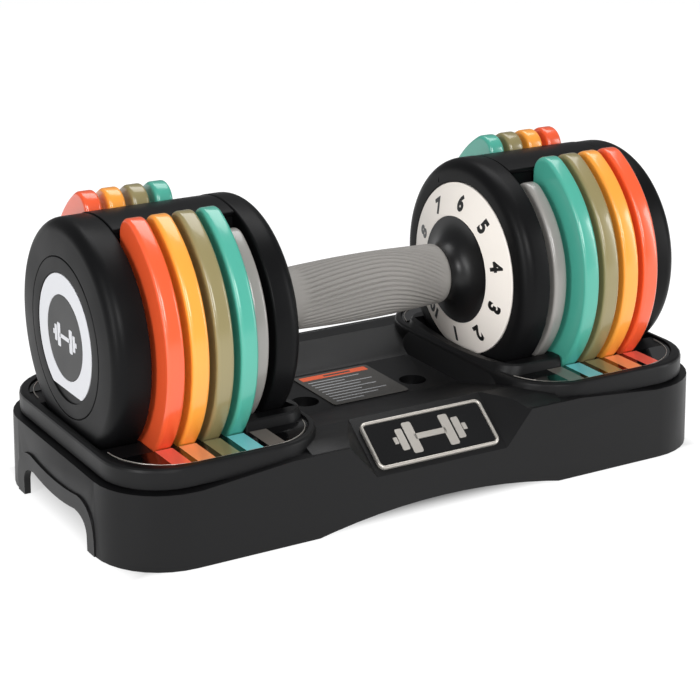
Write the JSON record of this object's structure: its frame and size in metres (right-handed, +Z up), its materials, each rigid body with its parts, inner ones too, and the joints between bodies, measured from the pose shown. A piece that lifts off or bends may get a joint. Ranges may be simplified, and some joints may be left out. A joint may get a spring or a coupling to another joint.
{
  "type": "adjustable dumbbell",
  "caption": "Adjustable dumbbell in its storage tray: a twist grip with numbered dials selects slotted coloured plates held between round end discs.",
  "frame": {"origin": "on the ground, under the middle of the tray", "axes": "+X along the handle, +Z up, -Y towards the front with the badge"},
  "size_m": [0.3792, 0.183, 0.1719],
  "materials": {
    "tray_plastic": "satin moulded black, fine spark texture",
    "case_plastic": "matt moulded black",
    "hub_plastic": "semi-gloss moulded black",
    "gloss_black": "gloss black printed sheet and badge",
    "paint_red": "gloss red-orange enamel",
    "paint_orange": "gloss amber enamel",
    "paint_olive": "gloss olive enamel",
    "paint_teal": "gloss teal enamel",
    "paint_grey": "gloss grey enamel",
    "grip_rubber": "matt warm grey, moulded ridges",
    "foot_rubber": "matt",
    "dial_white": "satin warm white, black figures",
    "label_print": "printed film",
    "steel": "turned and zinc-plated",
    "silver_trim": "satin silver"
  },
  "bodies": {
    "tray": {"tray_shell": "tray_plastic", "foot_left_front": "foot_rubber", "foot_left_rear": "foot_rubber", "foot_right_front": "foot_rubber", "foot_right_rear": "foot_rubber", "badge_frame": "silver_trim", "badge_plate": "gloss_black", "deck_label": "label_print", "gauge_panel_front_left": "gloss_black", "gauge_panel_front_right": "gloss_black", "gauge_panel_rear_left": "gloss_black", "gauge_panel_rear_right": "gloss_black"},
    "handle_frame": {"core_axle": "steel", "inner_disc_left": "case_plastic", "inner_disc_right": "case_plastic", "end_cap_left": "case_plastic", "end_cap_right": "case_plastic", "axle_nut_left": "steel", "axle_nut_right": "steel", "cap_label_left": "label_print", "cap_label_right": "label_print", "bridge_left": "case_plastic", "bridge_right": "case_plastic", "spine_left": "case_plastic", "spine_right": "case_plastic", "lock_spring_left": "steel", "lock_spring_right": "steel"},
    "selector": {"grip": "grip_rubber", "grip_core": "steel", "dial_hub_left": "hub_plastic", "dial_hub_right": "hub_plastic", "dial_ring_left": "dial_white", "dial_ring_right": "dial_white", "index_ring_left": "steel", "index_ring_right": "steel", "selector_sleeve_left": "steel", "selector_sleeve_right": "steel", "selector_disc_grey_left": "steel", "selector_disc_grey_right": "steel", "selector_disc_teal_left": "steel", "selector_disc_teal_right": "steel", "selector_disc_olive_left": "steel", "selector_disc_olive_right": "steel", "selector_disc_orange_left": "steel", "selector_disc_orange_right": "steel", "selector_disc_red_left": "steel", "selector_disc_red_right": "steel"},
    "lock_slider_left": {"lock_slider_left": "steel"},
    "lock_slider_right": {"lock_slider_right": "steel"},
    "plate_grey_left": {"plate_grey_left": "paint_grey"},
    "plate_grey_right": {"plate_grey_right": "paint_grey"},
    "plate_teal_left": {"plate_teal_left": "paint_teal"},
    "plate_teal_right": {"plate_teal_right": "paint_teal"},
    "plate_olive_left": {"plate_olive_left": "paint_olive"},
    "plate_olive_right": {"plate_olive_right": "paint_olive"},
    "plate_orange_left": {"plate_orange_left": "paint_orange"},
    "plate_orange_right": {"plate_orange_right": "paint_orange"},
    "plate_red_left": {"plate_red_left": "paint_red"},
    "plate_red_right": {"plate_red_right": "paint_red"}
  },
  "joints": [
    {"name": "dumbbell_lift", "type": "slide", "parent": "tray", "child": "handle_frame", "axis": [0, 0, 1], "range_m": [0, 0.16]},
    {"name": "selector_turn", "type": "hinge", "parent": "handle_frame", "child": "selector", "pos_m": [0, 0, 0.1032], "axis": [1, 0, 0], "range_deg": [-216, 108]},
    {"name": "lock_slider_left_drop", "type": "slide", "parent": "handle_frame", "child": "lock_slider_left", "axis": [0, 0, 1], "range_m": [-0.003, 0], "deforming": ["lock_spring_left"]},
    {"name": "lock_slider_right_drop", "type": "slide", "parent": "handle_frame", "child": "lock_slider_right", "axis": [0, 0, 1], "range_m": [-0.003, 0], "deforming": ["lock_spring_right"]},
    {"name": "plate_grey_left_lift", "type": "slide", "parent": "tray", "child": "plate_grey_left", "axis": [0, 0, 1], "range_m": [0, 0.003]},
    {"name": "plate_grey_right_lift", "type": "slide", "parent": "tray", "child": "plate_grey_right", "axis": [0, 0, 1], "range_m": [0, 0.003]},
    {"name": "plate_teal_left_lift", "type": "slide", "parent": "tray", "child": "plate_teal_left", "axis": [0, 0, 1], "range_m": [0, 0.16]},
    {"name": "plate_teal_right_lift", "type": "slide", "parent": "tray", "child": "plate_teal_right", "axis": [0, 0, 1], "range_m": [0, 0.16]},
    {"name": "plate_olive_left_lift", "type": "slide", "parent": "tray", "child": "plate_olive_left", "axis": [0, 0, 1], "range_m": [0, 0.16]},
    {"name": "plate_olive_right_lift", "type": "slide", "parent": "tray", "child": "plate_olive_right", "axis": [0, 0, 1], "range_m": [0, 0.16]},
    {"name": "plate_orange_left_lift", "type": "slide", "parent": "tray", "child": "plate_orange_left", "axis": [0, 0, 1], "range_m": [0, 0.16]},
    {"name": "plate_orange_right_lift", "type": "slide", "parent": "tray", "child": "plate_orange_right", "axis": [0, 0, 1], "range_m": [0, 0.16]},
    {"name": "plate_red_left_lift", "type": "slide", "parent": "tray", "child": "plate_red_left", "axis": [0, 0, 1], "range_m": [0, 0.003]},
    {"name": "plate_red_right_lift", "type": "slide", "parent": "tray", "child": "plate_red_right", "axis": [0, 0, 1], "range_m": [0, 0.003]}
  ],
  "couplings": [
    {"joint": "lock_slider_left_drop", "follows": "dumbbell_lift", "ratio": -0.01875},
    {"joint": "lock_slider_right_drop", "follows": "dumbbell_lift", "ratio": -0.01875},
    {"joint": "plate_teal_left_lift", "follows": "dumbbell_lift", "ratio": 1},
    {"joint": "plate_teal_right_lift", "follows": "dumbbell_lift", "ratio": 1},
    {"joint": "plate_olive_left_lift", "follows": "dumbbell_lift", "ratio": 1},
    {"joint": "plate_olive_right_lift", "follows": "dumbbell_lift", "ratio": 1},
    {"joint": "plate_orange_left_lift", "follows": "dumbbell_lift", "ratio": 1},
    {"joint": "plate_orange_right_lift", "follows": "dumbbell_lift", "ratio": 1}
  ]
}
